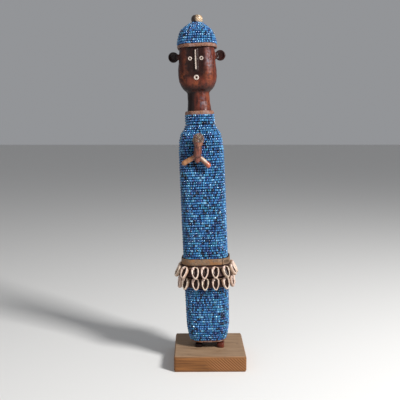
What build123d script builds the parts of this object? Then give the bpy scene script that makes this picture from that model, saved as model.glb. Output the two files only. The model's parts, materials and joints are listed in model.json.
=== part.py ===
from build123d import *
from math import cos, degrees, pi, sin
import os

# A beaded fertility doll: a carved wooden figure in a sleeve of glass beads, with a
# beaded cap, a small carved child on its chest and a cowrie skirt, on a square stand.
# Millimetres. The origin is the centre of the stand's underside, the doll faces -Y
# and +Z is up. Heights in the figure's own frame are named "height" and start at its soles.

# stand
STAND_SIDE = 86.0
STAND_THICK = 19.2
STAND_EDGE = 0.6
SCREW_R = 1.75
SCREW_HEAD_R = 3.8
SCREW_HEAD_DEPTH = 2.6
SCREW_RECESS = 0.4
SCREW_LENGTH = 32.0

# how the figure stands: it leans to one side and is turned a little
LEAN = 2.2
TURN = -4.0
SOLE_X = -0.9

# thickness of the layers over the wood
BEAD = 2.6
CLOTH = 0.7
LEATHER = 1.0
STRAP = 1.1
LAY = 0.05

# The outside of the beaded body, the wooden head and the beaded cap, each as rows of
# height, half width, half depth, corner radius and sideways shift.
BODY = [
    (8.0, 21.6, 16.9, 12.5, 0.0),
    (15.0, 24.3, 18.6, 13.5, 0.2),
    (28.0, 26.3, 20.2, 14.5, 0.4),
    (56.0, 26.8, 20.8, 15.0, 0.5),
    (110.0, 27.3, 21.0, 15.0, 0.5),
    (180.0, 27.5, 21.0, 15.0, 0.4),
    (240.0, 27.3, 21.0, 15.0, 0.2),
    (254.0, 26.0, 20.6, 15.0, 0.0),
    (262.5, 24.0, 19.6, 14.5, 0.0),
    (268.0, 20.0, 18.1, 14.0, 0.0),
    (272.0, 18.2, 17.3, 14.0, 0.0),
    (283.6, 17.8, 17.0, 14.0, -0.3),
]
NECK_AND_HEAD = [
    (283.6, 14.5, 13.7, 10.7, -0.3),
    (289.0, 14.2, 13.4, 10.7, -0.4),
    (300.0, 13.1, 12.4, 10.5, -0.6),
    (310.0, 13.1, 12.4, 10.5, -0.8),
    (311.5, 14.1, 13.4, 11.0, -0.9),
    (314.0, 16.8, 15.8, 12.5, -0.9),
    (317.4, 19.3, 17.6, 13.5, -0.9),
    (323.3, 21.8, 18.9, 14.0, -0.9),
    (329.0, 22.6, 19.2, 14.0, -0.9),
    (337.0, 22.6, 19.2, 14.0, -0.9),
    (346.5, 21.5, 19.2, 14.0, -0.8),
    (362.0, 20.6, 19.2, 14.0, -0.3),
]
CAP = [
    (362.0, 23.9, 22.5, 17.3, -0.3),
    (370.0, 23.6, 22.2, 17.5, -0.3),
    (374.5, 22.4, 21.1, 17.5, -0.4),
    (379.0, 20.9, 19.6, 16.5, -0.6),
    (383.5, 18.6, 17.5, 15.5, -0.8),
    (388.0, 13.4, 12.7, 12.0, -0.8),
    (391.5, 8.6, 8.2, 7.8, -0.3),
    (393.5, 3.4, 3.3, 3.0, 0.3),
]
HEM_TOP = 9.6
WAIST = 109.5
SHOULDER = 270.0
COLLAR_LOW = 283.6
COLLAR_HIGH = 288.6
COLLAR_OUT = -0.7
BAND_LOW = 361.8
BAND_HIGH = 365.8
BAND_OUT = -0.4
SKULL_TOP = 389.5

# feet
FOOT_X = 13.4
FOOT_SHIFT = 1.6
FOOT_WIDE = 8.6
FOOT_BACK = 9.5
FOOT_FRONT = -12.8
FOOT_TOP = 8.0

# face and ears
EAR_HEIGHT = 352.9
EAR_X = 27.9
EAR_SHIFT = -1.1
EAR_R = 6.1
EAR_THICK = 7.0
EAR_HOLLOW_R = 3.3
EAR_HOLLOW_DEPTH = 2.2
STALK_R = 3.2
STALK_IN = 7.2
EYE_X = 6.6
EYE_HEIGHT = 348.6
EYE_R = 2.3
EYE_HOLE_R = 1.1
MOUTH_HEIGHT = 326.8
MOUTH_R = 3.0
MOUTH_HOLE_R = 1.2
FACE_X = -1.4
FACE_DEPTH = 19.2
RING_SEAT = 0.9
RING_PROUD = 0.5
RIDGE_WIDE = 4.6
RIDGE_PROUD = 1.5
NOSE_LOW = 336.0
NOSE_HIGH = 358.4
NOSE_WIDE = 1.4
NOSE_SEAT = 0.5
NOSE_PROUD = 0.4

# bead on top of the cap
TOP_BEAD_R = 6.8
TOP_BEAD_FLAT = 0.65
TOP_BEAD_HEIGHT = 395.9
TOP_BEAD_X = 0.7
TOP_THREAD_R = 0.8
TOP_KNOT_R = 1.5

# child on the chest, in its own tilted frame on the front of the body
CHILD_HEIGHT = 236.5
CHILD_X = -3.0
CHILD_TILT = -5.5
CHILD_DEPTH = 25.2
CHILD_HEAD_R = 5.7
CHILD_HEAD_UP = 14.8
CHILD_HEAD_OUT = 3.4
CHILD_CAP_R = 6.8
CHILD_CAP_UP = 18.9
CHILD_CAP_TALL = 7.1
CHILD_ARM_R = 3.2
CHILD_LEFT_ARM = (-15.3, -9.7)
CHILD_RIGHT_ARM = (13.1, -10.6)
CHILD_TRUNK_R = 5.0
CHILD_TRUNK_LOW = 1.0
CHILD_TRUNK_HIGH = 8.5
CHILD_TRUNK_OUT = 2.0
CHILD_BODY_R = 3.6
CHILD_BODY_DROP = -5.0
CHILD_PEG_R = 1.5
CHILD_PEG_END = 10.0

# belt and skirt
BELT_LOW = 105.3
BELT_HIGH = 112.5
SKIRT_LOW = 76.6
TIER_LOW = 92.65
TIER_HIGH = 101.6
TIER_FLARE = 6.0
TIER_DEEP = 1.1
LAP_TRAVEL = 28.0
LAP_WIDE = 12.0
STITCH_R = 0.45
STITCH_LONG = 3.4
STITCH_STEP = 2.6

# cowries
COWRIES = 16
SHELL_LONG = 16.0
SHELL_R = 5.0
SHELL_FLAT = 2.5
SHELL_WALL = 1.2
SHELL_FLOOR = 1.2
SLIT_WIDE = 1.0
SLIT_LONG = 8.6
PIN_DOWN = 1.9
CORD_R = 0.70
HOLE_R = 0.75
CORD_OUT = 3.15
CORD_REACH = 5.2
CORD_BEND_R = 3.0
CORD_MIN_BEND = 0.5
UPPER_PIN = 102.4
LOWER_PIN = 89.0
UPPER_SPREAD = 28.0
LOWER_SPREAD = 10.0
ROLL = 4.0

FIGURE = Plane(origin=(SOLE_X, 0, STAND_THICK)).rotated((0, -LEAN, TURN))
FRONT = Plane(origin=FIGURE.origin, x_dir=FIGURE.x_dir, z_dir=-FIGURE.y_dir)

os.makedirs("parts", exist_ok=True)


def save(piece, label):
    piece.part.label = label
    export_step(piece.part, f"parts/{label}.step")


def row_at(rows, height):
    """One row of a body list, read off at any height between its ends."""
    for below, above in zip(rows, rows[1:]):
        if below[0] <= height <= above[0]:
            share = (height - below[0]) / (above[0] - below[0])
            return tuple(a + (b - a) * share for a, b in zip(below, above))
    return rows[-1]


def rows_between(rows, low, high):
    inner = [row for row in rows if low < row[0] < high]
    return [row_at(rows, low), *inner, row_at(rows, high)]


def stack(rows, low, high, grow=0.0, mode=Mode.ADD):
    """A solid through the rows from low to high, every section grown by the same amount."""
    sections = []
    for height, wide, deep, corner, shift in rows_between(rows, low, high):
        with BuildSketch(FIGURE.offset(height)) as section:
            with Locations((shift, 0)):
                RectangleRounded(2 * (wide + grow), 2 * (deep + grow), corner + grow)
        sections.append(section.sketch)
    loft(sections, ruled=True, mode=mode)


def sleeve(label, rows, low, high, outer, inner):
    with BuildPart() as layer:
        stack(rows, low, high, outer)
        stack(rows, low, high, inner, Mode.SUBTRACT)
    save(layer, label)


# ---- stand ----------------------------------------------------------------------------

foot_places = [FOOT_SHIFT + side * FOOT_X for side in (-1, 1)]
foot_spots = [FIGURE.from_local_coords((x, 0, 0)) for x in foot_places]


def screw_shape(spot, mode=Mode.ADD):
    """A countersunk screw up through the stand, its head a little below flush."""
    with Locations((spot.X, spot.Y, SCREW_RECESS)):
        Cone(
            SCREW_HEAD_R,
            SCREW_R,
            SCREW_HEAD_DEPTH,
            align=(Align.CENTER, Align.CENTER, Align.MIN),
            mode=mode,
        )
        Cylinder(
            SCREW_R,
            SCREW_LENGTH,
            align=(Align.CENTER, Align.CENTER, Align.MIN),
            mode=mode,
        )


with BuildPart() as stand_block:
    with BuildSketch():
        Rectangle(STAND_SIDE, STAND_SIDE)
    extrude(amount=STAND_THICK)
    chamfer(stand_block.edges(), STAND_EDGE)
    for spot in foot_spots:
        screw_shape(spot, Mode.SUBTRACT)
        with Locations((spot.X, spot.Y, 0)):
            Cylinder(
                SCREW_HEAD_R,
                SCREW_RECESS,
                align=(Align.CENTER, Align.CENTER, Align.MIN),
                mode=Mode.SUBTRACT,
            )
save(stand_block, "stand_block")

with BuildPart() as stand_screws:
    for spot in foot_spots:
        screw_shape(spot)
save(stand_screws, "stand_screws")


# ---- carved figure and the inlays in its face -----------------------------------------


def ring_shape(x, height, outer_r, hole_r, mode=Mode.ADD):
    with BuildSketch(FRONT.offset(FACE_DEPTH - RING_SEAT)) as ring:
        with Locations((FACE_X + x, height)):
            Circle(outer_r)
            Circle(hole_r, mode=Mode.SUBTRACT)
    extrude(ring.sketch, amount=RING_SEAT + RING_PROUD, mode=mode)


def nose_shape(mode=Mode.ADD):
    with BuildSketch(FRONT.offset(FACE_DEPTH + RIDGE_PROUD - NOSE_SEAT)) as strip:
        with Locations((FACE_X, (NOSE_LOW + NOSE_HIGH) / 2)):
            Rectangle(NOSE_WIDE, NOSE_HIGH - NOSE_LOW)
    extrude(strip.sketch, amount=NOSE_SEAT + NOSE_PROUD, mode=mode)


CHILD = Plane(
    FRONT.location * Location((CHILD_X, CHILD_HEIGHT, CHILD_DEPTH), (0, 0, CHILD_TILT))
)


def peg_shape(mode=Mode.ADD):
    with BuildSketch(CHILD.offset(-CHILD_PEG_END)) as peg:
        Circle(CHILD_PEG_R)
    extrude(peg.sketch, amount=CHILD_PEG_END, mode=mode)


with BuildPart() as carved_figure:
    stack(BODY, BODY[0][0], BODY[-1][0], -(BEAD + CLOTH))
    stack(NECK_AND_HEAD, NECK_AND_HEAD[0][0], NECK_AND_HEAD[-1][0])
    stack(CAP, CAP[0][0], SKULL_TOP, -(BEAD + CLOTH))
    for side in (-1, 1):
        with BuildSketch(FIGURE.offset(-2.0)):
            with Locations((FOOT_SHIFT + side * FOOT_X, (FOOT_FRONT + FOOT_BACK) / 2)):
                RectangleRounded(FOOT_WIDE, FOOT_BACK - FOOT_FRONT, 3.6)
        extrude(amount=FOOT_TOP + 2.0)
        with BuildSketch(FRONT.offset(-EAR_THICK / 2)):
            with Locations((EAR_SHIFT + side * EAR_X, EAR_HEIGHT)):
                Circle(EAR_R)
        extrude(amount=EAR_THICK)
        with BuildSketch(FRONT.offset(EAR_THICK / 2 - EAR_HOLLOW_DEPTH)):
            with Locations((EAR_SHIFT + side * EAR_X, EAR_HEIGHT)):
                Circle(EAR_HOLLOW_R)
        extrude(amount=EAR_HOLLOW_DEPTH, mode=Mode.SUBTRACT)
        stalk_x = EAR_SHIFT + side * (EAR_X - STALK_IN)
        with Locations(FIGURE.location * Location((stalk_x, 0, EAR_HEIGHT))):
            Cylinder(STALK_R, 8.0, rotation=(0, 90, 0))
    with BuildSketch(FRONT.offset(FACE_DEPTH - 1.0)):
        with Locations((FACE_X, (NOSE_LOW + NOSE_HIGH) / 2 - 0.5)):
            RectangleRounded(RIDGE_WIDE, NOSE_HIGH - NOSE_LOW + 2.0, 2.0)
    extrude(amount=1.0 + RIDGE_PROUD)
    ring_shape(-EYE_X, EYE_HEIGHT, EYE_R, EYE_HOLE_R, Mode.SUBTRACT)
    ring_shape(EYE_X, EYE_HEIGHT, EYE_R, EYE_HOLE_R, Mode.SUBTRACT)
    ring_shape(0, MOUTH_HEIGHT, MOUTH_R, MOUTH_HOLE_R, Mode.SUBTRACT)
    nose_shape(Mode.SUBTRACT)
    peg_shape(Mode.SUBTRACT)
    # the soles are cut level with the top of the stand, and take its screws
    with Locations((0, 0, STAND_THICK)):
        Box(
            STAND_SIDE,
            STAND_SIDE,
            10,
            align=(Align.CENTER, Align.CENTER, Align.MAX),
            mode=Mode.SUBTRACT,
        )
    for spot in foot_spots:
        screw_shape(spot, Mode.SUBTRACT)
save(carved_figure, "carved_figure")

for label, x in (("left_eye_ring", -EYE_X), ("right_eye_ring", EYE_X)):
    with BuildPart() as eye_ring:
        ring_shape(x, EYE_HEIGHT, EYE_R, EYE_HOLE_R)
    save(eye_ring, label)

with BuildPart() as mouth_ring:
    ring_shape(0, MOUTH_HEIGHT, MOUTH_R, MOUTH_HOLE_R)
save(mouth_ring, "mouth_ring")

with BuildPart() as nose_strip:
    nose_shape()
save(nose_strip, "nose_strip")


# ---- cloth and bead layers of the body ------------------------------------------------


def drilled_sleeve(label, rows, low, high, outer, inner):
    """A layer of the body with the child's peg hole through it."""
    with BuildPart() as layer:
        stack(rows, low, high, outer)
        stack(rows, low, high, inner, Mode.SUBTRACT)
        peg_shape(Mode.SUBTRACT)
    save(layer, label)


drilled_sleeve("body_lining", BODY, HEM_TOP, COLLAR_LOW, -BEAD, -(BEAD + CLOTH))
sleeve("hip_beads", BODY, HEM_TOP, WAIST, 0, -BEAD)
drilled_sleeve("torso_beads", BODY, WAIST, SHOULDER, 0, -BEAD)
sleeve("neck_beads", BODY, SHOULDER, COLLAR_LOW, 0, -BEAD)
sleeve("hem_band", BODY, BODY[0][0], HEM_TOP, -0.5, -(BEAD + CLOTH))

with BuildPart() as collar_band:
    collar = row_at(BODY, COLLAR_LOW)
    with BuildSketch(FIGURE.offset(COLLAR_LOW)):
        with Locations((collar[4], 0)):
            RectangleRounded(
                2 * (collar[1] + COLLAR_OUT),
                2 * (collar[2] + COLLAR_OUT),
                collar[3] + COLLAR_OUT,
            )
    extrude(amount=COLLAR_HIGH - COLLAR_LOW)
    stack(NECK_AND_HEAD, COLLAR_LOW, COLLAR_HIGH, 0, Mode.SUBTRACT)
save(collar_band, "collar_band")


# ---- cap --------------------------------------------------------------------------------


def top_thread_shape(mode=Mode.ADD):
    """The thread that holds the top bead, from the skull to its knot."""
    length = TOP_BEAD_HEIGHT + TOP_BEAD_R * TOP_BEAD_FLAT - SKULL_TOP
    with BuildSketch(FIGURE.offset(SKULL_TOP)) as thread:
        with Locations((TOP_BEAD_X, 0)):
            Circle(TOP_THREAD_R)
    extrude(thread.sketch, amount=length, mode=mode)


def spun_oval(plane, x, up, wide, tall):
    """An oval spun about its own upright centre line in a plane."""
    with BuildSketch(plane) as half:
        with Locations((x, up)):
            Ellipse(wide, tall)
            Rectangle(
                2 * wide,
                2 * tall,
                align=(Align.MAX, Align.CENTER),
                mode=Mode.SUBTRACT,
            )
    revolve(half.sketch, axis=Axis(plane.from_local_coords((x, up, 0)), plane.y_dir))


with BuildPart() as cap_lining:
    stack(CAP, CAP[0][0], SKULL_TOP + CLOTH, -BEAD)
    stack(CAP, CAP[0][0], SKULL_TOP, -(BEAD + CLOTH), Mode.SUBTRACT)
    top_thread_shape(Mode.SUBTRACT)
save(cap_lining, "cap_lining")

with BuildPart() as cap_top_bead:
    spun_oval(FRONT, TOP_BEAD_X, TOP_BEAD_HEIGHT, TOP_BEAD_R, TOP_BEAD_R * TOP_BEAD_FLAT)
    top_thread_shape(Mode.SUBTRACT)
save(cap_top_bead, "cap_top_bead")

with BuildPart() as top_bead_thread:
    top_thread_shape()
    knot_height = TOP_BEAD_HEIGHT + TOP_BEAD_R * TOP_BEAD_FLAT
    with BuildSketch(FIGURE.offset(knot_height)):
        with Locations((TOP_BEAD_X, 0)):
            Circle(TOP_KNOT_R)
    extrude(amount=0.8)
save(top_bead_thread, "top_bead_thread")

with BuildPart() as cap_beads:
    stack(CAP, BAND_HIGH, CAP[-1][0])
    stack(CAP, BAND_HIGH, SKULL_TOP + CLOTH, -BEAD, Mode.SUBTRACT)
    add(cap_top_bead.part, mode=Mode.SUBTRACT)
    top_thread_shape(Mode.SUBTRACT)
save(cap_beads, "cap_beads")

with BuildPart() as cap_band:
    band = row_at(CAP, BAND_HIGH)
    with BuildSketch(FIGURE.offset(BAND_LOW)):
        with Locations((band[4], 0)):
            RectangleRounded(
                2 * (band[1] + BAND_OUT),
                2 * (band[2] + BAND_OUT),
                band[3] + BAND_OUT,
            )
    extrude(amount=BAND_HIGH - BAND_LOW)
    stack(NECK_AND_HEAD, BAND_LOW, CAP[0][0], 0, Mode.SUBTRACT)
    stack(CAP, CAP[0][0], BAND_HIGH, -BEAD, Mode.SUBTRACT)
save(cap_band, "cap_band")


# ---- child ------------------------------------------------------------------------------


def child_limb(end_x, end_up, radius, start_up=0.0, out=0.0):
    """A round-ended limb between two points of the child's own frame."""
    start = CHILD.from_local_coords((0, start_up, out))
    end = CHILD.from_local_coords((end_x, end_up, out))
    with BuildSketch(Plane(origin=start, z_dir=end - start)) as limb:
        Circle(radius)
    extrude(limb.sketch, amount=(end - start).length)
    with Locations(end):
        Sphere(radius)


def child_head_shape(mode=Mode.ADD):
    with Locations(CHILD.from_local_coords((0, CHILD_HEAD_UP, CHILD_HEAD_OUT))):
        Sphere(CHILD_HEAD_R, mode=mode)


with BuildPart() as child_figure:
    with Locations(CHILD.from_local_coords((0, 0, 0))):
        Sphere(CHILD_ARM_R)
    child_limb(*CHILD_LEFT_ARM, CHILD_ARM_R)
    child_limb(*CHILD_RIGHT_ARM, CHILD_ARM_R)
    child_limb(0, CHILD_BODY_DROP, CHILD_BODY_R)
    child_limb(0, CHILD_TRUNK_HIGH, CHILD_TRUNK_R, CHILD_TRUNK_LOW, CHILD_TRUNK_OUT)
    child_head_shape()
    peg_shape(Mode.SUBTRACT)
save(child_figure, "child_figure")

with BuildPart() as child_cap:
    spun_oval(CHILD.offset(CHILD_HEAD_OUT), 0, CHILD_CAP_UP, CHILD_CAP_R, CHILD_CAP_TALL)
    child_head_shape(Mode.SUBTRACT)
save(child_cap, "child_cap")

with BuildPart() as child_peg:
    peg_shape()
save(child_peg, "child_peg")


# ---- belt and skirt ---------------------------------------------------------------------

WAIST_ROW = row_at(BODY, WAIST)


def around(grow, travel):
    """The point and heading at a distance round the waist from the front centre."""
    corner = WAIST_ROW[3] + grow
    flat_x = WAIST_ROW[1] + grow - corner
    flat_y = WAIST_ROW[2] + grow - corner
    heading = 0.0
    x = 0.0
    y = -flat_y - corner
    for flat in (flat_x, 2 * flat_y, 2 * flat_x, 2 * flat_y, flat_x):
        ahead = min(flat, travel)
        x += ahead * cos(heading)
        y += ahead * sin(heading)
        travel -= ahead
        turn = min(pi / 2, travel / corner)
        x += corner * (sin(heading + turn) - sin(heading))
        y -= corner * (cos(heading + turn) - cos(heading))
        heading += turn
        travel -= turn * corner
    return x + WAIST_ROW[4], y, degrees(heading)


def length_around(grow):
    corner = WAIST_ROW[3] + grow
    wide = WAIST_ROW[1] + grow
    deep = WAIST_ROW[2] + grow
    return 4 * (wide + deep) - 8 * corner + 2 * pi * corner


# the skirt, with a flared tier under the upper row of shells
WIDE, DEEP, CORNER, SHIFT = WAIST_ROW[1:]
TIER = [
    (TIER_LOW, WIDE + TIER_FLARE, DEEP + TIER_FLARE, CORNER + TIER_FLARE, SHIFT),
    (TIER_HIGH, WIDE + LAY + LEATHER, DEEP + LAY + LEATHER, CORNER + LAY + LEATHER, SHIFT),
]

with BuildPart() as under_skirt:
    stack(TIER, TIER_LOW, TIER_HIGH)
    stack(TIER, TIER_LOW, TIER_HIGH, -TIER_DEEP, Mode.SUBTRACT)
    stack(BODY, SKIRT_LOW, BELT_HIGH, LAY + LEATHER)
    stack(BODY, SKIRT_LOW, BELT_HIGH, LAY, Mode.SUBTRACT)
save(under_skirt, "under_skirt")

LAP_IN = LAY + LEATHER + STRAP
lap_x, lap_y, lap_heading = around(LAP_IN, LAP_TRAVEL)

with BuildPart() as belt_lap:
    stack(BODY, BELT_LOW, BELT_HIGH, LAP_IN + STRAP)
    stack(BODY, BELT_LOW, BELT_HIGH, LAP_IN, Mode.SUBTRACT)
    with Locations(FIGURE.location * Location((lap_x, lap_y, WAIST), (0, 0, lap_heading))):
        Box(LAP_WIDE, 4 * STRAP, 2 * (BELT_HIGH - BELT_LOW), mode=Mode.INTERSECT)

with BuildPart() as belt_band:
    stack(BODY, BELT_LOW, BELT_HIGH, LAP_IN)
    stack(BODY, BELT_LOW, BELT_HIGH, LAY + LEATHER, Mode.SUBTRACT)
    add(belt_lap.part)
save(belt_band, "belt_band")

with BuildPart() as belt_stitches:
    for step in (-1, 0, 1):
        x, y, heading = around(LAP_IN + STRAP + STITCH_R + LAY, LAP_TRAVEL + step * STITCH_STEP)
        place = Location((x, y, (BELT_LOW + BELT_HIGH) / 2), (0, 0, heading))
        with Locations(FIGURE.location * place):
            Cylinder(STITCH_R, STITCH_LONG)
save(belt_stitches, "belt_stitches")


# ---- cowries and their sewing cords -----------------------------------------------------


def egg(radius, top, tip, mode=Mode.ADD):
    """A shell's outer form: a round wide end, drawn in to a narrow tip below."""
    middle = top - radius
    below = middle - tip
    with BuildSketch(Plane.XZ) as half:
        with BuildLine():
            shoulder = CenterArc((0, middle), radius, 0, 90)
            Polyline(
                (radius, middle),
                (radius * 0.86, middle - below * 0.46),
                (radius * 0.30, middle - below * 0.93),
                (0, tip),
                shoulder @ 1,
            )
        make_face()
    revolve(half.sketch, axis=Axis.Z, mode=mode)


SHELL_TIP = PIN_DOWN - SHELL_LONG

with BuildPart() as shell_hollow:
    egg(SHELL_R - SHELL_WALL, PIN_DOWN - SHELL_WALL, SHELL_TIP + SHELL_WALL)
    with Locations((0, SHELL_FLAT - SHELL_FLOOR, SHELL_TIP / 2)):
        Box(
            4 * SHELL_R,
            4 * SHELL_R,
            2 * SHELL_LONG,
            align=(Align.CENTER, Align.MAX, Align.CENTER),
            mode=Mode.INTERSECT,
        )

# A cowrie with its back ground away, its pin line on the X axis and its open back at -Y.
with BuildPart() as cowrie:
    egg(SHELL_R, PIN_DOWN, SHELL_TIP)
    with Locations((0, 0, SHELL_TIP / 2)):
        Box(4 * SHELL_R, 2 * SHELL_FLAT, 2 * SHELL_LONG, mode=Mode.INTERSECT)
    add(shell_hollow.part, mode=Mode.SUBTRACT)
    with Locations((0, SHELL_FLAT, PIN_DOWN - SHELL_LONG / 2)):
        Box(SLIT_WIDE, 4 * SHELL_FLOOR, SLIT_LONG, mode=Mode.SUBTRACT)


def cord_place(height, share):
    """A place on a sewing cord: X along the cord, Y towards the body, Z up."""
    travel = share / COWRIES * length_around(LAY + LEATHER + CORD_OUT)
    x, y, heading = around(LAY + LEATHER + CORD_OUT, travel)
    return FIGURE.location * Location((x, y, height), (0, 0, heading))


def hang_shells(row, height, spread):
    for number in range(COWRIES):
        place = cord_place(height, number)
        roll = ROLL * sin(2.3 * number + height)
        with BuildPart() as shell:
            with Locations(place * Location((0, 0, 0), (-spread, roll, 0))):
                add(cowrie.part)
            with Locations(place):
                Cylinder(HOLE_R, 3 * SHELL_R, rotation=(0, 90, 0), mode=Mode.SUBTRACT)
        save(shell, f"{row}_cowrie_{number + 1:02d}")


def sewing_cord(label, height):
    """A cord threaded through one row of shells, with a stitch to the leather in each gap."""
    ends = []
    for number in range(COWRIES):
        for reach in (-CORD_REACH, CORD_REACH):
            ends.append((cord_place(height, number) * Location((reach, 0, 0))).position)
    bends = []
    for before, here, after in zip([ends[-1], *ends], ends, [*ends[1:], ends[0]]):
        if (here - before).get_angle(after - here) > CORD_MIN_BEND:
            bends.append(here)
    start = (ends[0] + ends[1]) * 0.5
    with BuildPart() as cord:
        with BuildLine() as route:
            FilletPolyline(*bends, radius=CORD_BEND_R, close=True)
        with BuildSketch(Plane(origin=start, z_dir=ends[1] - ends[0])) as section:
            Circle(CORD_R)
        sweep(section.sketch, path=route.wire())
        for number in range(COWRIES):
            with Locations(cord_place(height, number + 0.5) * Location((0, CORD_OUT / 2, 0))):
                Cylinder(STITCH_R, CORD_OUT + 2.0, rotation=(90, 0, 0))
        stack(BODY, SKIRT_LOW, BELT_HIGH, LAY + LEATHER, Mode.SUBTRACT)
    save(cord, label)


hang_shells("upper", UPPER_PIN, UPPER_SPREAD)
hang_shells("lower", LOWER_PIN, LOWER_SPREAD)
sewing_cord("upper_shell_cord", UPPER_PIN)
sewing_cord("lower_shell_cord", LOWER_PIN)
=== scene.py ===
import json
import math
import random
import bmesh
import bpy
from mathutils import Matrix, Vector, noise


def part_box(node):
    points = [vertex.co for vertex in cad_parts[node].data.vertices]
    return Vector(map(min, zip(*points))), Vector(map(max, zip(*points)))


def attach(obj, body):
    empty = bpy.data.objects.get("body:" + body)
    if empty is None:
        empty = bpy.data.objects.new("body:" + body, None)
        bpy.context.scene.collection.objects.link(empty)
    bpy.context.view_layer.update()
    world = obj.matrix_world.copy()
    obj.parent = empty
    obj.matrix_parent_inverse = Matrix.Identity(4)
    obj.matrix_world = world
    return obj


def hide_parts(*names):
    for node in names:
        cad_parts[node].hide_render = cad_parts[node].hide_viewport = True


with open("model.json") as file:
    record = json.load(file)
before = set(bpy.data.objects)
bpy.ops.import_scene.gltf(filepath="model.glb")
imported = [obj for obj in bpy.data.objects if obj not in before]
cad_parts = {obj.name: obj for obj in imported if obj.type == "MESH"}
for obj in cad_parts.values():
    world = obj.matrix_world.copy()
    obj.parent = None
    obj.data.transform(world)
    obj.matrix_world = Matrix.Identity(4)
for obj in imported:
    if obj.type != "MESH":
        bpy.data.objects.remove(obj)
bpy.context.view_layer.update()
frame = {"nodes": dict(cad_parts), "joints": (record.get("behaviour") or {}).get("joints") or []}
print("frame loaded:", len(frame["nodes"]), "CAD nodes")

# The doll is built upright in its own coordinates: soles at zero, facing -Y, and then leaned into place.
joints = {joint["name"]: joint for joint in frame["joints"]}
upperPin = Vector(joints["upper_swing_01"]["pos_m"])
lowerPin = Vector(joints["lower_swing_01"]["pos_m"])
figureZ = (upperPin - lowerPin).normalized()
figureY = figureZ.cross(-Vector(joints["upper_swing_01"]["axis"])).normalized()
figureX = figureY.cross(figureZ)
soleX = -0.0009  # where the soles' centre stands on the board
figurePlace = (
    Matrix.Translation((soleX, 0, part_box("stand_block")[1].z))
    @ Matrix((figureX, figureY, figureZ)).transposed().to_4x4()
)

# outlines as rows: height, half width, half depth, corner radius, sideways shift
body = {
    "rows": [
        (0.0080, 0.0216, 0.0169, 0.0125, 0.0000),
        (0.0150, 0.0243, 0.0186, 0.0135, 0.0002),
        (0.0280, 0.0263, 0.0202, 0.0145, 0.0004),
        (0.0560, 0.0268, 0.0208, 0.0150, 0.0005),
        (0.1100, 0.0273, 0.0210, 0.0150, 0.0005),
        (0.1800, 0.0275, 0.0210, 0.0150, 0.0004),
        (0.2400, 0.0273, 0.0210, 0.0150, 0.0002),
        (0.2540, 0.0260, 0.0206, 0.0150, 0.0000),
        (0.2625, 0.0240, 0.0196, 0.0145, 0.0000),
        (0.2680, 0.0200, 0.0181, 0.0140, 0.0000),
        (0.2720, 0.0182, 0.0173, 0.0140, 0.0000),
        (0.2836, 0.0178, 0.0170, 0.0140, -0.0003),
    ],
    "hemTop": 0.0096,
    "shoulder": 0.2700,
    "collarLow": 0.2836,
    "collarHigh": 0.2886,
    "beadDeep": 0.0026,
    "cloth": 0.0007,
    "slack": 0.0001,
    "coveredLow": 0.0800,  # between these heights leather covers the beads
    "coveredHigh": 0.1105,
    "torsoSplit": 0.1900,
    "waist": 0.1095,
}
head = {
    "rows": [
        (0.2820, 0.0145, 0.0137, 0.0107, -0.0003),
        (0.2890, 0.0142, 0.0134, 0.0107, -0.0004),
        (0.3000, 0.0131, 0.0124, 0.0105, -0.0006),
        (0.3100, 0.0131, 0.0124, 0.0105, -0.0008),
        (0.3115, 0.0141, 0.0134, 0.0110, -0.0009),
        (0.3140, 0.0168, 0.0158, 0.0125, -0.0009),
        (0.3174, 0.0193, 0.0176, 0.0135, -0.0009),
        (0.3233, 0.0218, 0.0189, 0.0140, -0.0009),
        (0.3290, 0.0226, 0.0192, 0.0140, -0.0009),
        (0.3370, 0.0226, 0.0192, 0.0140, -0.0009),
        (0.3465, 0.0215, 0.0192, 0.0140, -0.0008),
        (0.3620, 0.0206, 0.0192, 0.0140, -0.0003),
        (0.3700, 0.0203, 0.0189, 0.0142, -0.0002),
        (0.3790, 0.0169, 0.0157, 0.0132, 0.0002),
        (0.3860, 0.0118, 0.0110, 0.0100, 0.0007),
        (0.3893, 0.0070, 0.0066, 0.0060, 0.0009),
    ],
    "faceX": -0.0014,
    "faceDeep": 0.0192,
    "corners": 96,
    "voxel": 0.00062,
}
cap = {
    "rows": [
        (0.3620, 0.0239, 0.0225, 0.0173, -0.0003),
        (0.3700, 0.0236, 0.0222, 0.0175, -0.0003),
        (0.3745, 0.0224, 0.0211, 0.0175, -0.0004),
        (0.3790, 0.0209, 0.0196, 0.0165, -0.0006),
        (0.3835, 0.0186, 0.0175, 0.0155, -0.0008),
        (0.3880, 0.0134, 0.0127, 0.0120, -0.0008),
        (0.3915, 0.0086, 0.0082, 0.0078, -0.0003),
        (0.3935, 0.0034, 0.0033, 0.0030, 0.0003),
    ],
    "bandLow": 0.3618,
    "bandHigh": 0.3658,
    "beadsHigh": 0.3928,
}


def rowAt(rows, height):
    if height <= rows[0][0]:
        return (height, *rows[0][1:])
    for below, above in zip(rows, rows[1:]):
        if height <= above[0]:
            share = (height - below[0]) / (above[0] - below[0])
            return tuple(low + (high - low) * share for low, high in zip(below, above))
    return (height, *rows[-1][1:])


def lengthAround(row, grow):
    corner = row[3] + grow
    return 4 * (row[1] + row[2] + 2 * grow) - 8 * corner + 2 * math.pi * corner


def around(row, grow, travel):
    # point and heading at a distance round a rounded rectangle, from its front centre towards +X
    corner = row[3] + grow
    flatX = row[1] + grow - corner
    flatY = row[2] + grow - corner
    heading = 0.0
    x = 0.0
    y = -flatY - corner
    for flat in (flatX, 2 * flatY, 2 * flatX, 2 * flatY, flatX):
        ahead = min(flat, travel)
        x += ahead * math.cos(heading)
        y += ahead * math.sin(heading)
        travel -= ahead
        turn = min(math.pi / 2, travel / corner)
        x += corner * (math.sin(heading + turn) - math.sin(heading))
        y -= corner * (math.cos(heading + turn) - math.cos(heading))
        heading += turn
        travel -= turn * corner
    return x + row[4], y, heading


# small tools used on every piece


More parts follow.
